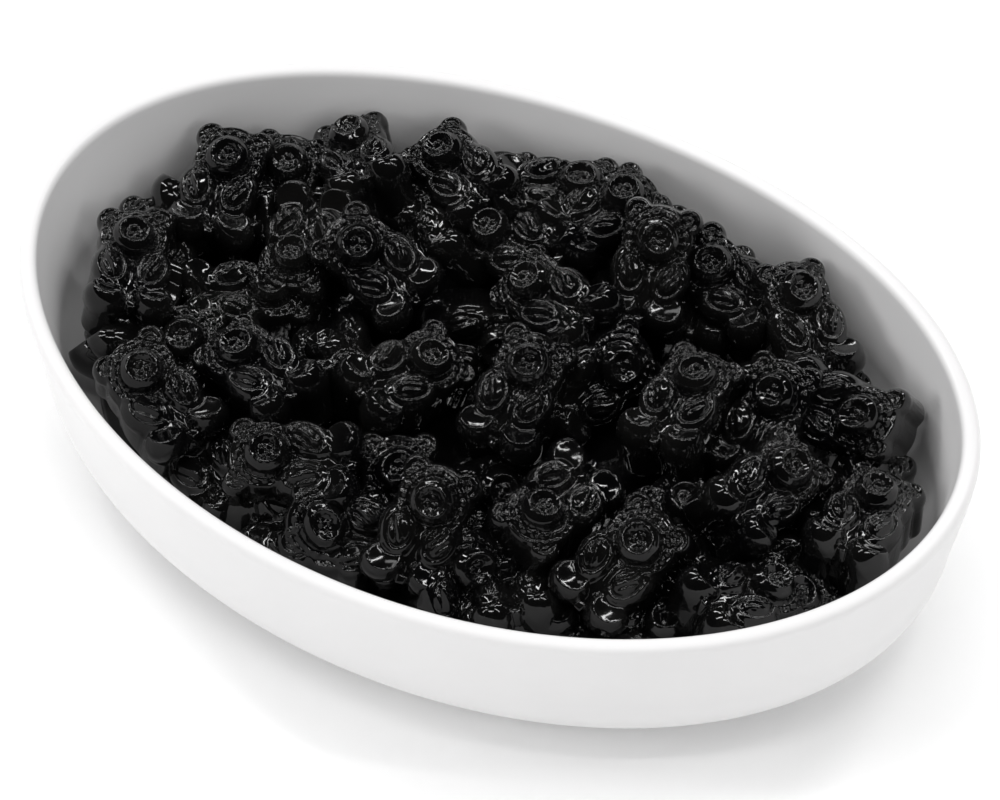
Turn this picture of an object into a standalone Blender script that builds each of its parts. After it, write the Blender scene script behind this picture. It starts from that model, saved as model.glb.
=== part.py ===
"""Oval white ceramic bowl filled with a heap of black gummy bears.

Two solids: the bowl, a thin walled oval dish whose rim rises towards its ends, and the heap,
which is one lumpy body made of all the bears together.  Metres, +Z up.  The origin is on the
table under the middle of the bowl, and the bowl's long axis is X.
"""
import math

import bmesh
import bpy
from mathutils import Matrix, Vector

MM = 0.001

# Bowl
RIM_HALF_LENGTH = 80.0 * MM
RIM_HALF_WIDTH = 54.5 * MM
RIM_HEIGHT = 36.0 * MM
RIM_SADDLE = 1.8 * MM
WALL = 3.0 * MM
LIP_ROUND = 1.2 * MM
BELLY_HEIGHT = 20.0 * MM
BELLY_FRACTION = 0.965
CORNER_FRACTION = 0.30
BASE_HEIGHT = 1.0 * MM
BASE_FRACTION = BELLY_FRACTION - CORNER_FRACTION
FOOT_OUTER = 0.62
FOOT_INNER = 0.54
FOOT_TOP = 1.6 * MM
TURN_STEPS = 68
CORNER_STEPS = 6

# Heap
GAP = 0.3 * MM
ENVELOPE_TOP = 52.0 * MM
VOXEL = 1.1 * MM
SMOOTH_PASSES = 3
HEAP_TRIANGLES = 3800
# The mass of buried bears: a low dome from wall to wall, as (fraction, height in mm).
MOUND_PROFILE = ((0.0, 23.0), (0.5, 21.5), (0.8, 19.0), (1.05, 15.5), (1.05, -2.0), (0.0, -2.0))

# One bear lies with its back on XY: X across, Y from feet to head, Z out of its front.
BEAR_CENTRE = Vector((0.0, 10.6, 5.0)) * MM
# (centre, half sizes) of the rounded lumps that make one bear, in millimetres.
BEAR_LUMPS = (
    ((0.0, 7.6, 4.0), (6.0, 7.0, 4.2)),
    ((0.0, 14.7, 4.4), (5.8, 5.8, 4.4)),
    ((0.0, 14.3, 7.2), (3.5, 3.5, 2.7)),
    ((-4.1, 18.5, 5.0), (2.4, 2.4, 2.6)),
    ((4.1, 18.5, 5.0), (2.4, 2.4, 2.6)),
    ((-3.3, 8.4, 5.9), (2.8, 4.1, 2.9)),
    ((3.3, 8.4, 5.9), (2.8, 4.1, 2.9)),
    ((-3.75, 2.8, 5.2), (3.05, 2.8, 4.4)),
    ((3.75, 2.8, 5.2), (3.05, 2.8, 4.4)),
)

# Each bear of the heap's surface: centre x, y, z (mm), then the heading of its head, the rise
# of its head, and the roll of its front away from straight up (degrees).
TOP_BEARS = (
    (-57.5, 14.5, 28, 103, 15, 3),
    (-61.5, -7.5, 28, 115, 6, 8),
    (-40, 10.5, 26, -81, -9, 4),
    (-32.5, -17, 28, 159, -4, -11),
    (-45, -27.5, 26, 157, 18, -9),
    (-19, -30, 27, -160, 0, -18),
    (-26.5, 10.5, 29, 168, 19, -20),
    (-25.5, 37, 28, 150, -4, -18),
    (-42, 31, 28, 130, -15, -10),
    (-10, 26.5, 26, 171, -5, -18),
    (2, 16.5, 29, 159, -9, -21),
    (7, -4, 31, 92, 22, 6),
    (-11, -7, 28, 64, -3, 15),
    (5.5, -32, 28, 90, 35, 14),
    (30, 7.5, 29, 89, 5, 0),
    (21.5, -19.5, 28, -102, 3, -11),
    (36, -25, 29, 69, 24, 16),
    (54.5, -20, 25, 60, -18, 8),
    (49, -2, 29, 78, -4, 28),
    (64, 1.5, 26, 90, -7, 3),
    (57, 22.5, 28, -4, 17, 75),
    (13.5, 29.5, 31, 101, 34, 9),
    (1, 37.5, 28, 62, 3, 3),
    (-9, 44, 27, 30, 0, 0),
    (25, 34, 27, 162, 8, -15),
    (38, 33, 27, -85, 10, 40),
)
# Bears that show between and behind those.
UNDER_BEARS = (
    (-62.5, 15.5, 22.5, 31, -5, -58),
    (-54, 23.5, 24, 105, 15, 0),
    (-69, 2, 22, 118, 20, 0),
    (-66, -14, 22, 100, 10, -60),
    (24, 41, 23, 100, 10, 150),
    (10, 43, 23, 105, 10, 0),
    (-20, 43, 23, 118, 10, 0),
    (-27, -3, 21, -60, 20, 20),
    (-8, 11, 20, 20, 0, 60),
    (-4, -24, 21, 118, 30, 0),
    (20, -32, 20, 130, -20, 0),
    (-25, -37, 18, 200, 0, 30),
    (-38, -32, 18, 150, 10, -20),
    (42, -24, 17, 60, 20, 0),
    (61, -8, 18, 30, 0, 30),
    (40, -8, 20, 150, 10, 0),
    (-47, -17, 21, 110, 20, 0),
    (7, -19, 20, 60, 0, 40),
    (-43.5, -0.5, 22, 42, -3, -60),
    (-7, -35, 22, 200, 15, -33),
    (13.5, -36, 21, 98, 30, 35),
    (-25.5, 23, 23.5, 135, -12, -33),
    (14, 9, 24.5, 62, 10, 45),
    (42, 14, 24.5, 88, 30, -3),
    (52, 32, 21, 60, 0, 30),
    (-37, 40, 21, 20, 0, 20),
    (68, 12, 20, 90, 0, 0),
    (-14, -43, 19, 10, 0, 0),
    (65, -20, 20, 60, 0, 20),
    (48, -36, 19, 30, 0, 0),
    (32, -42, 19, 10, 0, 0),
)


def clear_scene():
    for thing in list(bpy.data.objects):
        bpy.data.objects.remove(thing, do_unlink=True)


def material(name, colour, roughness):
    mat = bpy.data.materials.new(name)
    mat.use_nodes = True
    shader = mat.node_tree.nodes["Principled BSDF"]
    shader.inputs["Base Color"].default_value = (*colour, 1.0)
    shader.inputs["Roughness"].default_value = roughness
    shader.inputs["Metallic"].default_value = 0.0
    mat.diffuse_color = (*colour, 1.0)
    return mat


def add_object(name, mesh, collection):
    thing = bpy.data.objects.new(name, mesh)
    collection.objects.link(thing)
    return thing


def evaluated_copy(thing, name):
    """A plain mesh of an object with its modifiers applied."""
    graph = bpy.context.evaluated_depsgraph_get()
    graph.update()
    return bpy.data.meshes.new_from_object(thing.evaluated_get(graph)).copy()


def belly_profile():
    """Outer side of the bowl from rim to the middle of its base, as (fraction, height)."""
    points = [(1.0, RIM_HEIGHT)]
    points.append((0.992, RIM_HEIGHT - 5.0 * MM))
    points.append((0.981, RIM_HEIGHT - 10.5 * MM))
    drop = BELLY_HEIGHT - BASE_HEIGHT
    for step in range(CORNER_STEPS + 1):
        turn = 0.5 * math.pi * step / CORNER_STEPS
        fraction = BASE_FRACTION + CORNER_FRACTION * math.cos(turn)
        points.append((fraction, BELLY_HEIGHT - drop * math.sin(turn)))
    points.append((0.35, BASE_HEIGHT))
    points.append((0.0, BASE_HEIGHT))
    return points


def turned(name, profile, closed=False):
    """Turn a profile about Z with a Screw modifier, then stretch it into the bowl's oval.

    A profile from the axis to the axis, or a closed one, makes a closed body.
    """
    mesh = bpy.data.meshes.new(name)
    corners = [(fraction, 0.0, height) for fraction, height in profile]
    edges = [(i, i + 1) for i in range(len(corners) - 1)]
    if closed:
        edges.append((len(corners) - 1, 0))
    mesh.from_pydata(corners, edges, [])
    thing = add_object(name, mesh, bpy.context.scene.collection)
    screw = thing.modifiers.new("turn", "SCREW")
    screw.steps = TURN_STEPS
    screw.render_steps = TURN_STEPS
    screw.use_merge_vertices = True
    screw.merge_threshold = 0.00001
    result = evaluated_copy(thing, name)
    bpy.data.objects.remove(thing, do_unlink=True)
    for vertex in result.vertices:
        x, y, z = vertex.co
        reach = math.hypot(x, y)
        lift = RIM_SADDLE * (x * x - y * y) * (z / RIM_HEIGHT) ** 2
        if reach > 0.0:
            lift /= reach * reach
        vertex.co = (x * RIM_HALF_LENGTH, y * RIM_HALF_WIDTH, z + lift * reach)
    result.update()
    return result


def make_bowl(collection, glaze):
    bowl = add_object("bowl", turned("bowl", belly_profile()), collection)
    bowl.data.materials.append(glaze)
    shell = bowl.modifiers.new("wall", "SOLIDIFY")
    shell.thickness = WALL
    shell.offset = -1.0
    rounding = bowl.modifiers.new("lip", "BEVEL")
    rounding.width = LIP_ROUND
    rounding.segments = 3
    rounding.limit_method = "ANGLE"
    rounding.angle_limit = math.radians(60.0)
    return bowl


def add_foot(bowl, cutters):
    ring = [(FOOT_OUTER, FOOT_TOP), (FOOT_OUTER, 0.0), (FOOT_INNER, 0.0), (FOOT_INNER, FOOT_TOP)]
    foot = add_object("foot_ring", turned("foot_ring", ring, closed=True), cutters)
    hide(foot)
    join = bowl.modifiers.new("foot", "BOOLEAN")
    join.operation = "UNION"
    join.object = foot


def hide(thing):
    thing.hide_render = True
    thing.display_type = "WIRE"


def envelope_mesh():
    """The space inside the bowl, less a small gap, carried up well above the rim."""
    mesh = turned("envelope", belly_profile())
    normals = [vertex.normal.copy() for vertex in mesh.vertices]
    for vertex, normal in zip(mesh.vertices, normals):
        vertex.co -= normal * (WALL + GAP)
    shape = bmesh.new()
    shape.from_mesh(mesh)
    border = [edge for edge in shape.edges if edge.is_boundary]
    raised = bmesh.ops.extrude_edge_only(shape, edges=border)["geom"]
    for piece in raised:
        if isinstance(piece, bmesh.types.BMVert):
            piece.co.z = ENVELOPE_TOP
    rim = [edge for edge in shape.edges if edge.is_boundary]
    bmesh.ops.edgeloop_fill(shape, edges=rim)
    bmesh.ops.recalc_face_normals(shape, faces=shape.faces)
    shape.to_mesh(mesh)
    shape.free()
    return mesh


def bear_matrix(place):
    """World matrix of a bear from its row of place and angles."""
    x, y, z, heading, rise, roll = place
    heading, rise, roll = (math.radians(angle) for angle in (heading, rise, roll))
    up = Vector((math.cos(heading) * math.cos(rise), math.sin(heading) * math.cos(rise),
                 math.sin(rise)))
    front = Vector((-math.cos(heading) * math.sin(rise), -math.sin(heading) * math.sin(rise),
                    math.cos(rise)))
    front = Matrix.Rotation(roll, 3, up) @ front
    across = up.cross(front)
    turn = Matrix((across, up, front)).transposed()
    return Matrix.Translation(Vector((x, y, z)) * MM - turn @ BEAR_CENTRE) @ turn.to_4x4()


def add_lump(shape, matrix, centre, half):
    size = Matrix.Diagonal((*(Vector(half) * MM), 1.0))
    place = matrix @ Matrix.Translation(Vector(centre) * MM) @ size
    bmesh.ops.create_icosphere(shape, subdivisions=2, radius=1.0, matrix=place)


def raw_heap_mesh():
    """All bears and the mound that they bury, as overlapping closed lumps."""
    shape = bmesh.new()
    for place in TOP_BEARS + UNDER_BEARS:
        matrix = bear_matrix(place)
        for centre, half in BEAR_LUMPS:
            add_lump(shape, matrix, centre, half)
    mound = [(fraction, height * MM) for fraction, height in MOUND_PROFILE]
    shape.from_mesh(turned("mound", mound))
    mesh = bpy.data.meshes.new("raw_heap")
    shape.to_mesh(mesh)
    shape.free()
    return mesh


def make_heap(collection, cutters, sugar):
    heap = add_object("gummy_heap", raw_heap_mesh(), cutters)
    skin = heap.modifiers.new("skin", "REMESH")
    skin.mode = "VOXEL"
    skin.voxel_size = VOXEL
    settle = heap.modifiers.new("settle", "SMOOTH")
    settle.factor = 0.5
    settle.iterations = SMOOTH_PASSES
    skinned = evaluated_copy(heap, "skinned")
    heap.modifiers.clear()
    heap.data = skinned
    thin = heap.modifiers.new("thin", "DECIMATE")
    thin.ratio = HEAP_TRIANGLES / (2.0 * len(skinned.polygons))
    envelope = add_object("envelope", envelope_mesh(), cutters)
    hide(envelope)
    trim = heap.modifiers.new("trim", "BOOLEAN")
    trim.operation = "INTERSECT"
    trim.object = envelope
    heap.data.materials.clear()
    heap.data.materials.append(sugar)
    cutters.objects.unlink(heap)
    collection.objects.link(heap)
    return heap


def main():
    clear_scene()
    parts = bpy.data.collections.new("gummy_bear_bowl")
    cutters = bpy.data.collections.new("cutters")
    bpy.context.scene.collection.children.link(parts)
    bpy.context.scene.collection.children.link(cutters)
    glaze = material("white_glaze", (0.84, 0.84, 0.85), 0.22)
    sugar = material("black_gummy", (0.012, 0.012, 0.013), 0.15)
    bowl = make_bowl(parts, glaze)
    add_foot(bowl, cutters)
    make_heap(parts, cutters, sugar)


main()
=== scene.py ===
"""Oval white ceramic bowl heaped with glossy black gummy bears.

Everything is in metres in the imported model's frame, +Z up; the tables of the bears are in
millimetres.  The bowl is turned from its profile.  One bear is modelled as a smooth solid from
a distance field, then laid many times at the places of the heap, each a little bent and scaled.
"""
import math

import bpy
import numpy as np
from mathutils import Matrix, Vector


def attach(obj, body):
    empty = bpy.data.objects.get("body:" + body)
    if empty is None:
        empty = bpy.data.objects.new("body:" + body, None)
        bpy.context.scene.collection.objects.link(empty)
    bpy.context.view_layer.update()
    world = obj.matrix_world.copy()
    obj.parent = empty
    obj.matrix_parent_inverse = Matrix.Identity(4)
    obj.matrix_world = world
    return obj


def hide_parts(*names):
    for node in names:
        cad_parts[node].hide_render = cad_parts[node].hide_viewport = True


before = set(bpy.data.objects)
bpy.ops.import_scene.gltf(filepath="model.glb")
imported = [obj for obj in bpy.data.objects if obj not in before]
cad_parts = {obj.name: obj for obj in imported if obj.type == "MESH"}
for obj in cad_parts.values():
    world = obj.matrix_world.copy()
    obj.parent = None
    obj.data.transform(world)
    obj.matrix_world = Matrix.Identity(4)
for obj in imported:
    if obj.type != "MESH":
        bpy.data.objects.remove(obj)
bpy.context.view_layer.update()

MM = 0.001

# Bowl, in metres
RIM_HALF_LENGTH = 80.0 * MM
RIM_HALF_WIDTH = 54.5 * MM
RIM_HEIGHT = 36.0 * MM
RIM_SADDLE = 1.8 * MM
WALL = 3.0 * MM
BELLY_HEIGHT = 20.0 * MM
BELLY_FRACTION = 0.965
CORNER_FRACTION = 0.30
BASE_HEIGHT = 1.0 * MM
FOOT_OUTER = 0.62
FOOT_INNER = 0.54
BOWL_TURNS = 288
WALL_STEPS = 12
CORNER_STEPS = 24
SIDE_ROWS = 1 + WALL_STEPS + CORNER_STEPS
LIP_START = 2
LIP_STEPS = 16

# Bears: centre x, y, z (mm), heading of the head, rise of the head, roll of the front (degrees).
TOP_BEARS = (
    (-57.5, 14.5, 28, 103, 15, 3),
    (-61.5, -7.5, 28, 115, 6, 8),
    (-40, 10.5, 26, -81, -9, 4),
    (-32.5, -17, 28, 159, -4, -11),
    (-45, -27.5, 26, 157, 18, -9),
    (-19, -30, 27, -160, 0, -18),
    (-26.5, 10.5, 29, 168, 19, -20),
    (-25.5, 37, 28, 150, -4, -18),
    (-42, 31, 28, 130, -15, -10),
    (-10, 26.5, 26, 171, -5, -18),
    (2, 16.5, 29, 159, -9, -21),
    (7, -4, 31, 92, 22, 6),
    (-11, -7, 28, 64, -3, 15),
    (5.5, -32, 28, 90, 35, 14),
    (30, 7.5, 29, 89, 5, 0),
    (21.5, -19.5, 28, -102, 3, -11),
    (36, -25, 29, 69, 24, 16),
    (54.5, -20, 25, 60, -18, 8),
    (49, -2, 29, 78, -4, 28),
    (64, 1.5, 26, 90, -7, 3),
    (57, 21, 26.5, -4, 10, 35),
    (13.5, 29.5, 31, 101, 34, 9),
    (1, 37.5, 28, 62, 3, 3),
    (-9, 44, 27, 30, 0, 0),
    (25, 34, 27, 162, 8, -15),
    (39, 33, 27.5, 137, 17, 7),
)
UNDER_BEARS = (
    (-62.5, 15.5, 22.5, 31, -5, -58),
    (-54, 23.5, 24, 105, 15, 0),
    (-69, 2, 22, 118, 20, 0),
    (-66, -14, 22, 100, 10, -60),
    (24, 42, 22.5, 100, 5, 0),
    (10, 43, 23, 105, 10, 0),
    (-20, 43, 23, 118, 10, 0),
    (-27, -3, 21, -60, 20, 20),
    (-8, 11, 20, 20, 0, 60),
    (-4, -24, 21, 118, 30, 0),
    (20, -32, 20, 130, -20, 0),
    (-25, -37, 18, 200, 0, 30),
    (-38, -32, 18, 150, 10, -20),
    (42, -24, 17, 60, 20, 0),
    (61, -8, 18, 30, 0, 30),
    (40, -8, 20, 150, 10, 0),
    (-47, -17, 21, 110, 20, 0),
    (7, -19, 20, 60, 0, 40),
    (-44, -0.5, 22.5, 35, 0, 10),
    (-7, -35, 22, 200, 15, -33),
    (13.5, -36, 21, 98, 30, 35),
    (-25.5, 23, 23.5, 135, -12, -33),
    (14, 9, 24.5, 62, 10, 45),
    (42, 14, 24.5, 88, 30, -3),
    (52, 32, 21, 60, 0, 30),
    (-37, 40, 21, 20, 0, 20),
    (68, 12, 20, 90, 0, 0),
    (-14, -43, 19, 10, 0, 0),
    (65, -20, 20, 60, 0, 20),
    (48, -36, 19, 30, 0, 0),
    (32, -42, 19, 10, 0, 0),
)
BEAR_CENTRE = np.array((0.0, 10.6, 5.0))
BEAR_STEP = 0.23
TOP_TRIANGLES = 13000
UNDER_TRIANGLES = 5000
TOP_PER_PIECE = 13
UNDER_PER_PIECE = 16
SHAPE_SEED = 41
# Between the bears and the bowl (mm)
WALL_CLEARANCE = 3.3
WALL_LEAN = 3.3
LOWEST = 4.6

# Core of the heap: (fraction, height in mm)
CORE_PROFILE = ((0.0, 17.0), (0.3, 16.5), (0.55, 15.5), (0.75, 14.0), (0.84, 12.0), (0.85, 10.5),
                (0.78, 7.0), (0.55, 5.0), (0.0, 5.0))
CORE_TURNS = 96


# ---------------------------------------------------------------- mesh helpers

def new_piece(name, points, faces, material):
    mesh = bpy.data.meshes.new(name)
    mesh.from_pydata([tuple(p) for p in points], [], [tuple(f) for f in faces])
    mesh.shade_smooth()
    mesh.materials.append(material)
    piece = bpy.data.objects.new(name, mesh)
    bpy.context.scene.collection.objects.link(piece)
    return piece


def piece_from_arrays(name, points, triangles, material):
    """A smooth triangle mesh straight from arrays."""
    mesh = bpy.data.meshes.new(name)
    mesh.vertices.add(len(points))
    mesh.vertices.foreach_set("co", points.astype(np.float32).ravel())
    mesh.loops.add(3 * len(triangles))
    mesh.loops.foreach_set("vertex_index", triangles.astype(np.int32).ravel())
    mesh.polygons.add(len(triangles))
    mesh.polygons.foreach_set("loop_start", np.arange(0, 3 * len(triangles), 3, dtype=np.int32))
    mesh.update(calc_edges=True)
    mesh.validate()
    mesh.shade_smooth()
    mesh.materials.append(material)
    piece = bpy.data.objects.new(name, mesh)
    bpy.context.scene.collection.objects.link(piece)
    return piece


# ---------------------------------------------------------------- distance field

def smooth_min(a, b, k):
    h = np.maximum(k - np.abs(a - b), 0.0) / k
    return np.minimum(a, b) - 0.25 * k * h * h


def smooth_max(a, b, k):
    return -smooth_min(-a, -b, k)


def ramp(value, low, high):
    t = np.clip((value - low) / (high - low), 0.0, 1.0)
    return t * t * (3.0 - 2.0 * t)


def ridge(distance, width):
    return np.exp(-(distance / width) ** 2)


def turned_pair(x, y, centre, angle):
    """Coordinates across and along an axis leaning by an angle (degrees)."""
    c, s = math.cos(math.radians(angle)), math.sin(math.radians(angle))
    dx, dy = x - centre[0], y - centre[1]
    return c * dx + s * dy, -s * dx + c * dy


def ellipsoid(across, along, up, radii):
    ka = np.sqrt((across / radii[0]) ** 2 + (along / radii[1]) ** 2 + (up / radii[2]) ** 2)
    kb = np.sqrt((across / radii[0] ** 2) ** 2 + (along / radii[1] ** 2) ** 2
                 + (up / radii[2] ** 2) ** 2)
    return ka * (ka - 1.0) / np.maximum(kb, 1e-6)


def ellipse(across, along, radii):
    return ellipsoid(across, along, 0.0, (*radii, 1.0))


def slab(outline, up, half, rounding):
    """A flat body with that outline and half thickness, its edges rounded."""
    side, top = outline + rounding, up + rounding - half
    top = np.maximum(top, -up + rounding - half)
    outside = np.hypot(np.maximum(side, 0.0), np.maximum(top, 0.0))
    return outside + np.minimum(np.maximum(side, top), 0.0) - rounding


FACE = (0.0, 14.3)
HEAD = (0.0, 14.7)
EAR = (4.1, 18.45)
ARM = (3.25, 8.4)
FOOT = (3.75, 2.8)
ARM_LEAN = 13.0


def bear_outline(x, y):
    """Distance in the plane to the outline of the bear seen from its front."""
    wide = np.abs(x)
    head = np.hypot(x, y - HEAD[1]) - 5.9
    ear = np.hypot(wide - EAR[0], y - EAR[1]) - 2.3
    box_x = np.abs(x) - 4.5
    box_y = np.abs(y - 7.2) - 4.2
    torso = np.hypot(np.maximum(box_x, 0.0), np.maximum(box_y, 0.0)) - 1.7
    torso = torso + np.minimum(np.maximum(box_x, box_y), 0.0)
    across, along = turned_pair(wide, y, ARM, -ARM_LEAN)
    arm = ellipse(across, along, (2.95, 4.25))
    foot = np.hypot(wide - FOOT[0], y - FOOT[1]) - 3.1
    outline = smooth_min(head, ear, 0.6)
    outline = smooth_min(outline, torso, 1.0)
    outline = smooth_min(outline, arm, 0.8)
    return smooth_min(outline, foot, 0.8)


def face_detail(x, y):
    """Relief of the head: band, brow curls, eyes, cheeks, and the rings of the muzzle."""
    dx, dy = x - FACE[0], y - FACE[1]
    reach = np.hypot(dx, dy)
    angle = np.degrees(np.arctan2(dy, np.abs(dx)))
    head_reach = np.hypot(x - HEAD[0], y - HEAD[1])
    upper = ramp(angle, -55.0, -20.0)
    relief = 0.40 * ridge(head_reach - 5.35, 0.36) * upper
    relief -= 0.35 * ridge(reach - 3.95, 0.28)
    curls = ((88, 4.70, 0.30), (70, 4.50, 0.32), (52, 4.65, 0.30), (36, 4.50, 0.32),
             (18, 4.65, 0.34), (0, 4.55, 0.36), (-18, 4.50, 0.38))
    for turn, distance, size in curls:
        for side in (-1.0, 1.0):
            cx = side * distance * math.cos(math.radians(turn + 3.0 * side))
            cy = FACE[1] + distance * math.sin(math.radians(turn + 3.0 * side))
            relief += 0.36 * ridge(np.hypot(x - cx, y - cy), size)
    for side in (-1.0, 1.0):
        eye = np.hypot(x - side * 2.1, y - (FACE[1] + 4.0))
        relief += 0.34 * ridge(eye - 0.50, 0.20)
    relief += 0.42 * ridge(reach - 2.35, 0.30)
    relief -= 0.85 * (1.0 - ramp(reach, 1.1, 2.1))
    relief += 0.80 * ridge(np.hypot(x / 1.35, y - (FACE[1] + 0.80)), 0.46)
    for side in (-1.0, 1.0):
        relief += 0.60 * ridge(np.hypot(x - side * 0.58, y - (FACE[1] - 0.45)), 0.38)
        relief += 0.30 * ridge(np.hypot(x - side * 1.30, y - (FACE[1] + 0.10)), 0.30)
    relief += 0.40 * ridge(np.hypot(x / 1.6, y - (FACE[1] - 1.30)), 0.26)
    return relief


def ear_detail(x, y):
    wide = np.abs(x)
    inner = np.hypot(wide - EAR[0] + 0.15, y - EAR[1] + 0.15)
    return 0.42 * ridge(inner - 0.80, 0.20)


def arm_detail(x, y):
    """Raised rim and the bent inner grooves; the two arms differ a little."""
    relief = np.zeros_like(x)
    for side in (-1.0, 1.0):
        across, along = turned_pair(x * side, y, ARM, -ARM_LEAN)
        reach = np.hypot(across / 2.7, along / 3.9)
        here = 1.0 - ramp(reach, 0.95, 1.1)
        relief -= 0.36 * ridge(reach - 0.68, 0.080) * here
        bend = 0.45 * np.sin(along * (0.95 if side > 0 else 0.7))
        inside = 1.0 - ramp(reach, 0.42, 0.66)
        relief += 0.50 * ridge(across - bend, 0.40) * inside
        if side > 0:
            relief -= 0.42 * ridge(across - bend + 0.85, 0.22) * (1.0 - ramp(reach, 0.6, 0.85))
            relief += 0.30 * ridge(across - bend - 1.0, 0.28) * inside
        else:
            relief -= 0.34 * ridge(across - bend - 0.8, 0.22) * (1.0 - ramp(reach, 0.6, 0.85))
    return relief


def bear_field(points):
    """Signed distance (nearly) to the skin of a bear, in millimetres."""
    x, y, z = points[:, 0], points[:, 1], points[:, 2]
    wide = np.abs(x)
    outline = bear_outline(x, y) + 0.045 * (z - 3.0)
    body = slab(outline, z - 2.2, 4.4, 1.4)
    belly = ellipsoid(x, y - 7.2, z - 5.2, (2.9, 5.4, 2.2))
    body = smooth_min(body, belly, 0.8)
    dome = ellipsoid(x, y - HEAD[1], z - 5.0, (5.8, 5.8, 3.7))
    body = smooth_min(body, dome, 0.5)
    ear = ellipsoid(wide - EAR[0], y - EAR[1], z - 5.4, (2.4, 2.35, 2.4))
    dish = 2.2 - np.sqrt((wide - EAR[0] + 0.1) ** 2 + (y - EAR[1] + 0.15) ** 2 + (z - 8.55) ** 2)
    ear = smooth_max(ear, dish, 0.25)
    body = smooth_min(body, ear, 0.3)
    across, along = turned_pair(wide, y, ARM, -ARM_LEAN)
    arm = ellipsoid(across, along, z - 6.1, (3.25, 4.6, 3.1))
    body = smooth_min(body, arm, 0.35)
    foot = ellipsoid(wide - FOOT[0], y - FOOT[1], z - 5.5, (3.65, 3.3, 4.3))
    lean = math.radians(34.0)
    sole_y, sole_z = 2.9 + 8.0 * math.sin(lean), 8.5 + 8.0 * math.cos(lean)
    hollow = 8.0 - np.sqrt((wide - FOOT[0]) ** 2 + (y - sole_y) ** 2 + (z - sole_z) ** 2)
    foot = smooth_max(foot, hollow, 0.2)
    body = smooth_min(body, foot, 0.45)
    muzzle = slab(np.hypot(x, y - FACE[1]) - 3.5, z - 8.0, 1.85, 1.4)
    body = smooth_min(body, muzzle, 0.22)
    tab = slab(np.maximum(np.abs(x) - 0.7, np.abs(y - 1.2) - 0.7), z - 6.4, 1.3, 0.2)
    body = smooth_min(body, tab, 0.15)
    front = ramp(z, 5.4, 6.6)
    head_part = ramp(y, 9.8, 10.6)
    relief = face_detail(x, y) * head_part * (1.0 - ramp(np.hypot(x, y - HEAD[1]), 5.8, 6.4))
    relief += ear_detail(x, y) * (np.hypot(wide - EAR[0], y - EAR[1]) < 2.6) * (
        np.hypot(x, y - HEAD[1]) > 5.0)
    relief += arm_detail(x, y) * (1.0 - ramp(y, 11.4, 12.2)) * ramp(y, 4.2, 5.0)
    return body - relief * front


def surface_net(field, low, high, step):
    """Quads on the zero level of a field over a grid, drawn onto the level itself."""
    low, high = np.array(low), np.array(high)
    counts = np.ceil((high - low) / step).astype(int) + 1
    axes = [low[i] + step * np.arange(counts[i]) for i in range(3)]
    grid = np.stack(np.meshgrid(*axes, indexing="ij"), -1).reshape(-1, 3)
    values = np.concatenate([field(part) for part in np.array_split(grid, 24)]).reshape(counts)
    cells = counts - 1
    total = np.zeros(cells)
    spot = np.zeros((*cells, 3))
    for axis in range(3):
        others = [i for i in range(3) if i != axis]
        for a in (0, 1):
            for b in (0, 1):
                offset = np.zeros(3, int)
                offset[others[0]], offset[others[1]] = a, b
                start = tuple(slice(o, o + n) for o, n in zip(offset, cells))
                offset[axis] = 1
                end = tuple(slice(o, o + n) for o, n in zip(offset, cells))
                first, last = values[start], values[end]
                cross = (first < 0) != (last < 0)
                share = np.where(cross, first / np.where(cross, first - last, 1.0), 0.0)
                total += cross
                spot[..., axis] += cross * share
                spot[..., others[0]] += cross * a
                spot[..., others[1]] += cross * b
    used = total > 0
    index = np.full(cells, -1)
    index[used] = np.arange(used.sum())
    points = np.argwhere(used) + spot[used] / total[used][:, None]
    points = low + step * points
    quads = []
    inside = values < 0
    for axis in range(3):
        u, v = [(1, 2), (2, 0), (0, 1)][axis]
        first = np.take(inside, range(counts[axis] - 1), axis)
        last = np.take(inside, range(1, counts[axis]), axis)
        edges = np.argwhere(first != last)
        keep = (edges[:, u] > 0) & (edges[:, v] > 0)
        keep &= (edges[:, u] < cells[u]) & (edges[:, v] < cells[v])
        edges = edges[keep]
        corners = []
        for du, dv in ((1, 1), (0, 1), (0, 0), (1, 0)):
            cell = edges.copy()
            cell[:, u] -= du
            cell[:, v] -= dv
            corners.append(index[cell[:, 0], cell[:, 1], cell[:, 2]])
        quad = np.stack(corners, 1)
        outward = first[edges[:, 0], edges[:, 1], edges[:, 2]]
        quad[~outward] = quad[~outward][:, ::-1]
        quads.append(quad)
    reach = 0.05
    for _ in range(3):
        here = field(points)
        slope = np.stack([
            (field(points + reach * d) - field(points - reach * d)) / (2 * reach)
            for d in np.eye(3)
        ], 1)
        move = -here[:, None] * slope / np.maximum((slope ** 2).sum(1), 0.2)[:, None]
        limit = 0.4 * step
        size = np.linalg.norm(move, axis=1)[:, None]
        points = points + move * np.minimum(1.0, limit / np.maximum(size, 1e-9))
    return points, np.concatenate(quads)


def thinned(points, faces, triangles):
    """The mesh reduced to about that many triangles, as arrays."""
    mesh = bpy.data.meshes.new("bear_form")
    mesh.from_pydata(points.tolist(), [], faces.tolist())
    thing = bpy.data.objects.new("bear_form", mesh)
    bpy.context.scene.collection.objects.link(thing)
    split = thing.modifiers.new("split", "TRIANGULATE")
    split.quad_method = "SHORTEST_DIAGONAL"
    thin = thing.modifiers.new("thin", "DECIMATE")
    thin.ratio = min(1.0, triangles / (2.0 * len(faces)))
    graph = bpy.context.evaluated_depsgraph_get()
    result = thing.evaluated_get(graph).to_mesh()
    result.calc_loop_triangles()
    out = np.zeros(3 * len(result.vertices))
    result.vertices.foreach_get("co", out)
    tri = np.zeros(3 * len(result.loop_triangles), int)
    result.loop_triangles.foreach_get("vertices", tri)
    bpy.data.objects.remove(thing, do_unlink=True)
    return out.reshape(-1, 3), tri.reshape(-1, 3)


# ---------------------------------------------------------------- heap

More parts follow.
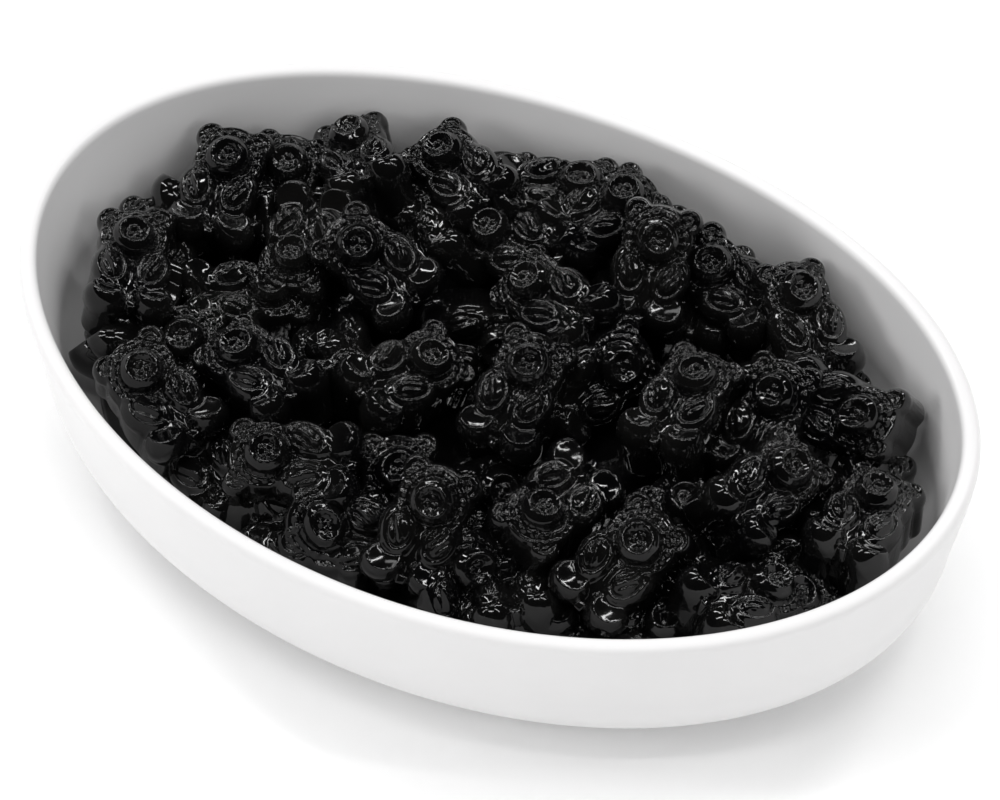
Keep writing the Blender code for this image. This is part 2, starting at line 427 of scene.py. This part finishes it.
def bear_frame(place):
    """Rotation (columns across, up, front) and centre of a bear, in millimetres."""
    x, y, z, heading, rise, roll = place
    heading, rise, roll = (math.radians(angle) for angle in (heading, rise, roll))
    up = Vector((math.cos(heading) * math.cos(rise), math.sin(heading) * math.cos(rise),
                 math.sin(rise)))
    front = Vector((-math.cos(heading) * math.sin(rise), -math.sin(heading) * math.sin(rise),
                    math.cos(rise)))
    front = Matrix.Rotation(roll, 3, up) @ front
    across = up.cross(front)
    return np.array((across, up, front)).T, np.array((x, y, z), float)


def shaped(points, rng):
    """One bear's own small differences: size, bend along its back, twist and uneven swelling."""
    out = points - BEAR_CENTRE
    out = out * (1.0 + rng.uniform(-0.025, 0.025, 3))
    bend = rng.uniform(-0.008, 0.008)
    out[:, 2] += bend * out[:, 1] ** 2
    lean = rng.uniform(-0.006, 0.006)
    out[:, 0] += lean * out[:, 1] ** 2
    twist = rng.uniform(-0.012, 0.012) * out[:, 1]
    c, s = np.cos(twist), np.sin(twist)
    x, z = out[:, 0].copy(), out[:, 2].copy()
    out[:, 0], out[:, 2] = c * x + s * z, c * z - s * x
    phase = rng.uniform(0, 6.28, 6)
    for axis in range(3):
        wave = np.sin(0.42 * out[:, (axis + 1) % 3] + phase[axis])
        wave *= np.sin(0.35 * out[:, (axis + 2) % 3] + phase[axis + 3])
        out[:, axis] += 0.16 * wave
    return out


def kept_inside(points):
    """A bear moved, and where still needed pressed, clear of the inner side of the bowl."""
    profile = bowl_outside()[:SIDE_ROWS]
    for _ in range(4):
        fraction = np.interp(points[:, 2] - WALL_LEAN, profile[::-1, 1] / MM,
                             profile[::-1, 0])
        fraction = fraction + 0.08 * np.maximum(points[:, 2] - RIM_HEIGHT / MM, 0.0)
        across = points[:, 0] / (RIM_HALF_LENGTH / MM * fraction - WALL_CLEARANCE)
        along = points[:, 1] / (RIM_HALF_WIDTH / MM * fraction - WALL_CLEARANCE)
        reach = np.hypot(across, along)
        worst = reach.argmax()
        if reach[worst] <= 1.0:
            break
        points[:, :2] -= 0.6 * points[worst, :2] * (1.0 - 1.0 / reach[worst])
    else:
        points[:, :2] /= np.maximum(reach, 1.0)[:, None]
    points[:, 2] = np.maximum(points[:, 2], LOWEST)
    return points


def lay_bears(places, form, per_piece, name, material, rng):
    points, triangles = form
    pieces = []
    for number, start in enumerate(range(0, len(places), per_piece)):
        all_points, all_triangles, count = [], [], 0
        for place in places[start:start + per_piece]:
            turn, centre = bear_frame(place)
            moved = kept_inside(shaped(points, rng) @ turn.T + centre)
            all_points.append(moved * MM)
            all_triangles.append(triangles + count)
            count += len(points)
        piece = piece_from_arrays(f"{name}_{number + 1}", np.concatenate(all_points),
                                  np.concatenate(all_triangles), material)
        pieces.append(piece)
    return pieces


# ---------------------------------------------------------------- bowl

def bowl_outside():
    """Outer side from the rim to the foot, as (fraction of the rim, height), finely stepped."""
    points = []
    for step in range(WALL_STEPS + 1):
        t = step / WALL_STEPS
        height = RIM_HEIGHT + (BELLY_HEIGHT - RIM_HEIGHT) * t
        fraction = 1.0 - (1.0 - BELLY_FRACTION) * t ** 1.15
        points.append((fraction, height))
    drop = BELLY_HEIGHT - BASE_HEIGHT
    base = BELLY_FRACTION - CORNER_FRACTION
    for step in range(1, CORNER_STEPS + 1):
        turn = 0.5 * math.pi * step / CORNER_STEPS
        points.append((base + CORNER_FRACTION * math.cos(turn),
                       BELLY_HEIGHT - drop * math.sin(turn)))
    for fraction in (0.64, 0.5, 0.35, 0.2, 0.1, 0.0):
        points.append((fraction, BASE_HEIGHT))
    return np.array(points)


def placed_on_oval(fractions, heights, turns):
    """A profile carried round the oval, lifted at the ends and lowered at the sides."""
    angle = 2.0 * math.pi * np.arange(turns) / turns
    c, s = np.cos(angle)[:, None], np.sin(angle)[:, None]
    saddle = RIM_SADDLE * (c * c - s * s) * (heights / RIM_HEIGHT)[None, :] ** 2
    x = RIM_HALF_LENGTH * c * fractions[None, :]
    y = RIM_HALF_WIDTH * s * fractions[None, :]
    z = heights[None, :] + saddle * np.minimum(fractions, 1.0)[None, :]
    return np.stack((x, y, z), -1)


def rows_to_faces(turns, rows):
    faces = []
    for i in range(turns):
        j = (i + 1) % turns
        for k in range(rows - 1):
            faces.append((i * rows + k, j * rows + k, j * rows + k + 1, i * rows + k + 1))
    return faces


def bowl_arrays():
    """Points and faces of the bowl: foot, outer side, rounded lip and inner side."""
    outside = bowl_outside()
    skin = placed_on_oval(outside[:, 0], outside[:, 1], BOWL_TURNS)
    around = np.roll(skin, -1, 0) - np.roll(skin, 1, 0)
    down = np.gradient(skin, axis=1)
    normal = np.cross(down, around)
    length = np.linalg.norm(normal, axis=2, keepdims=True)
    normal = normal / np.maximum(length, 1e-12)
    normal[:, -1] = normal[:, -2] = (0.0, 0.0, -1.0)
    inner = skin - normal * WALL
    half = 0.5 * WALL
    middle = 0.5 * (skin[:, 0] + inner[:, 0])
    out_way = (skin[:, 0] - inner[:, 0]) / WALL
    up_way = skin[:, 0] - skin[:, LIP_START]
    up_way = up_way / np.linalg.norm(up_way, axis=1, keepdims=True)
    middle = middle - up_way * half
    lip = []
    for step in range(LIP_STEPS + 1):
        turn = math.pi * step / LIP_STEPS
        push = abs(math.cos(turn)) ** 0.85 * (1 if turn < math.pi / 2 else -1)
        lift = math.sin(turn) ** 0.85
        lip.append(middle + half * push * out_way + half * lift * up_way)
    lip = np.stack(lip, 1)
    foot = np.array(((FOOT_OUTER + 0.012, BASE_HEIGHT), (FOOT_OUTER, 0.5 * BASE_HEIGHT),
                     (FOOT_OUTER - 0.004, 0.1 * BASE_HEIGHT), (FOOT_OUTER - 0.012, 0.0),
                     (FOOT_INNER + 0.012, 0.0), (FOOT_INNER + 0.004, 0.1 * BASE_HEIGHT),
                     (FOOT_INNER, 0.5 * BASE_HEIGHT), (FOOT_INNER - 0.012, BASE_HEIGHT),
                     (0.3, BASE_HEIGHT), (0.1, BASE_HEIGHT), (0.001, BASE_HEIGHT)))
    foot = placed_on_oval(foot[:, 0], foot[:, 1], BOWL_TURNS)
    outer = skin[:, LIP_START:SIDE_ROWS]
    section = np.concatenate((foot[:, ::-1], outer[:, ::-1], lip, inner[:, LIP_START:-1]), 1)
    rows = section.shape[1]
    points = section.reshape(-1, 3)
    faces = rows_to_faces(BOWL_TURNS, rows)
    bottom = [i * rows for i in range(BOWL_TURNS)]
    top = [i * rows + rows - 1 for i in range(BOWL_TURNS)]
    faces.append(bottom[::-1])
    faces.append(top)
    return points, faces


# ---------------------------------------------------------------- materials

def node_material(name):
    material = bpy.data.materials.new(name)
    material.use_nodes = True
    tree = material.node_tree
    shader = tree.nodes["Principled BSDF"]
    coords = tree.nodes.new("ShaderNodeTexCoord")
    return material, tree, shader, coords.outputs["Object"]


def noise(tree, coords, scale, detail, rough=0.55):
    texture = tree.nodes.new("ShaderNodeTexNoise")
    texture.inputs["Scale"].default_value = scale
    texture.inputs["Detail"].default_value = detail
    texture.inputs["Roughness"].default_value = rough
    tree.links.new(coords, texture.inputs["Vector"])
    return texture.outputs["Fac"]


def spread(tree, value, low, high, out_low, out_high):
    """Maps part of a value's range to another range."""
    node = tree.nodes.new("ShaderNodeMapRange")
    node.inputs["From Min"].default_value = low
    node.inputs["From Max"].default_value = high
    node.inputs["To Min"].default_value = out_low
    node.inputs["To Max"].default_value = out_high
    tree.links.new(value, node.inputs["Value"])
    return node.outputs["Result"]


def tint(tree, value, low, high):
    ramp_node = tree.nodes.new("ShaderNodeValToRGB")
    ramp_node.color_ramp.elements[0].position = 0.35
    ramp_node.color_ramp.elements[0].color = (*low, 1.0)
    ramp_node.color_ramp.elements[1].position = 0.65
    ramp_node.color_ramp.elements[1].color = (*high, 1.0)
    tree.links.new(value, ramp_node.inputs["Fac"])
    return ramp_node.outputs["Color"]


def bump(tree, height, distance, below=None):
    node = tree.nodes.new("ShaderNodeBump")
    node.inputs["Strength"].default_value = 1.0
    node.inputs["Distance"].default_value = distance
    tree.links.new(height, node.inputs["Height"])
    if below is not None:
        tree.links.new(below, node.inputs["Normal"])
    return node.outputs["Normal"]


def gummy_material():
    material, tree, shader, coords = node_material("black_gummy")
    patches = noise(tree, coords, 90.0, 3.0)
    colour = tint(tree, patches, (0.0015, 0.0015, 0.0017), (0.0045, 0.0044, 0.0042))
    tree.links.new(colour, shader.inputs["Base Color"])
    haze = noise(tree, coords, 160.0, 4.0, 0.6)
    tree.links.new(spread(tree, haze, 0.35, 0.7, 0.05, 0.14), shader.inputs["Roughness"])
    waves = noise(tree, coords, 420.0, 2.0, 0.5)
    skin = noise(tree, coords, 1500.0, 2.0, 0.5)
    normal = bump(tree, waves, 0.00006)
    normal = bump(tree, skin, 0.000012, normal)
    tree.links.new(normal, shader.inputs["Normal"])
    shader.inputs["IOR"].default_value = 1.5
    shader.inputs["Coat Weight"].default_value = 0.35
    shader.inputs["Coat Roughness"].default_value = 0.04
    return material


def glaze_material():
    material, tree, shader, coords = node_material("white_glaze")
    clouds = noise(tree, coords, 22.0, 3.0)
    colour = tint(tree, clouds, (0.760, 0.755, 0.758), (0.782, 0.776, 0.778))
    tree.links.new(colour, shader.inputs["Base Color"])
    haze = noise(tree, coords, 60.0, 3.0)
    tree.links.new(spread(tree, haze, 0.3, 0.7, 0.29, 0.37), shader.inputs["Roughness"])
    flow = noise(tree, coords, 45.0, 2.0)
    peel = noise(tree, coords, 700.0, 2.0)
    normal = bump(tree, flow, 0.00025)
    normal = bump(tree, peel, 0.000012, normal)
    tree.links.new(normal, shader.inputs["Normal"])
    shader.inputs["IOR"].default_value = 1.5
    return material


def floor_material():
    material, tree, shader, coords = node_material("white_floor")
    grain = noise(tree, coords, 30.0, 2.0)
    tree.links.new(tint(tree, grain, (0.975, 0.975, 0.975), (0.985, 0.985, 0.985)),
                   shader.inputs["Base Color"])
    shader.inputs["Roughness"].default_value = 0.9
    shader.inputs["Specular IOR Level"].default_value = 0.0
    return material


# ---------------------------------------------------------------- build

gummy = gummy_material()
glaze = glaze_material()

bowl_points, bowl_faces = bowl_arrays()
bowl = new_piece("ceramic_bowl", bowl_points, bowl_faces, glaze)
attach(bowl, "root")
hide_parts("bowl")

net_points, net_quads = surface_net(bear_field, (-8.0, -1.4, -2.8), (8.0, 23.4, 11.2), BEAR_STEP)
top_form = thinned(net_points, net_quads, TOP_TRIANGLES)
under_form = thinned(net_points, net_quads, UNDER_TRIANGLES)
shape_rng = np.random.default_rng(SHAPE_SEED)
heap = lay_bears(TOP_BEARS, top_form, TOP_PER_PIECE, "gummy_bears_top", gummy, shape_rng)
heap += lay_bears(UNDER_BEARS, under_form, UNDER_PER_PIECE, "gummy_bears_under", gummy, shape_rng)

core_profile = np.array(CORE_PROFILE)
core_points = placed_on_oval(core_profile[:, 0], core_profile[:, 1] * MM, CORE_TURNS)
core_faces = rows_to_faces(CORE_TURNS, core_points.shape[1])
core = new_piece("gummy_core", core_points.reshape(-1, 3), core_faces, gummy)
heap.append(core)
for part in heap:
    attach(part, "root")
    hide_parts("gummy_heap")

# Floor
floor = new_piece("floor", ((-3, -3, 0), (3, -3, 0), (3, 3, 0), (-3, 3, 0)), ((0, 1, 2, 3),),
                  floor_material())


# ---------------------------------------------------------------- light and camera

def area_light(name, place, target, size, power):
    data = bpy.data.lights.new(name, "AREA")
    data.shape = "RECTANGLE"
    data.size, data.size_y = size
    data.energy = power
    light = bpy.data.objects.new(name, data)
    light.location = place
    light.rotation_euler = (Vector(target) - Vector(place)).to_track_quat("-Z", "Y").to_euler()
    bpy.context.scene.collection.objects.link(light)
    return light


world = bpy.data.worlds.new("studio")
world.use_nodes = True
world.node_tree.nodes["Background"].inputs["Color"].default_value = (1.0, 1.0, 1.0, 1.0)
world.node_tree.nodes["Background"].inputs["Strength"].default_value = 0.40
world.cycles_visibility.glossy = False
bpy.context.scene.world = world
bpy.context.scene.view_settings.view_transform = "Standard"

# Headings are from the bowl: the viewer stands at about -62 degrees.
AIM = (0.0, 0.0, 0.03)


def softbox(name, heading, height_angle, distance, size, power, mirrored=True):
    """A panel light; without mirrored it lights the bowl but leaves no reflection."""
    a, e = math.radians(heading), math.radians(height_angle)
    place = (distance * math.cos(a) * math.cos(e), distance * math.sin(a) * math.cos(e),
             AIM[2] + distance * math.sin(e))
    light = area_light(name, place, AIM, size, power)
    light.visible_glossy = mirrored
    return light


softbox("overhead", 118, 82, 1.3, (1.0, 0.6), 4.0, False)
softbox("left_front", 215, 22, 1.3, (0.5, 0.5), 4.7, False)
softbox("right_front", -25, 38, 1.3, (0.5, 0.5), 2.6, False)
softbox("front", -62, 25, 1.3, (1.2, 0.5), 0.5, False)
softbox("back_left", 165, 45, 1.2, (0.06, 0.8), 2.4)
softbox("back_right", 70, 50, 1.2, (0.06, 0.8), 2.4)
softbox("back_panel", 118, 62, 1.3, (0.45, 0.18), 0.6)
softbox("high_left", 212, 58, 1.2, (0.04, 0.6), 1.2)
softbox("high_right", 15, 58, 1.2, (0.04, 0.6), 1.2)
softbox("high_front", -62, 74, 1.2, (0.6, 0.04), 1.2)
softbox("low_back", 118, 24, 1.2, (0.8, 0.06), 1.5)

camera_data = bpy.data.cameras.new("camera")
camera_data.sensor_width = 36.0
camera_data.lens = 163.3
camera = bpy.data.objects.new("camera", camera_data)
camera.location = (0.2170, -0.4085, 0.5722)
aim = Vector((0.0071, -0.0105, 0.0360))
camera.rotation_euler = (aim - camera.location).to_track_quat("-Z", "Y").to_euler()
bpy.context.scene.collection.objects.link(camera)
bpy.context.scene.camera = camera
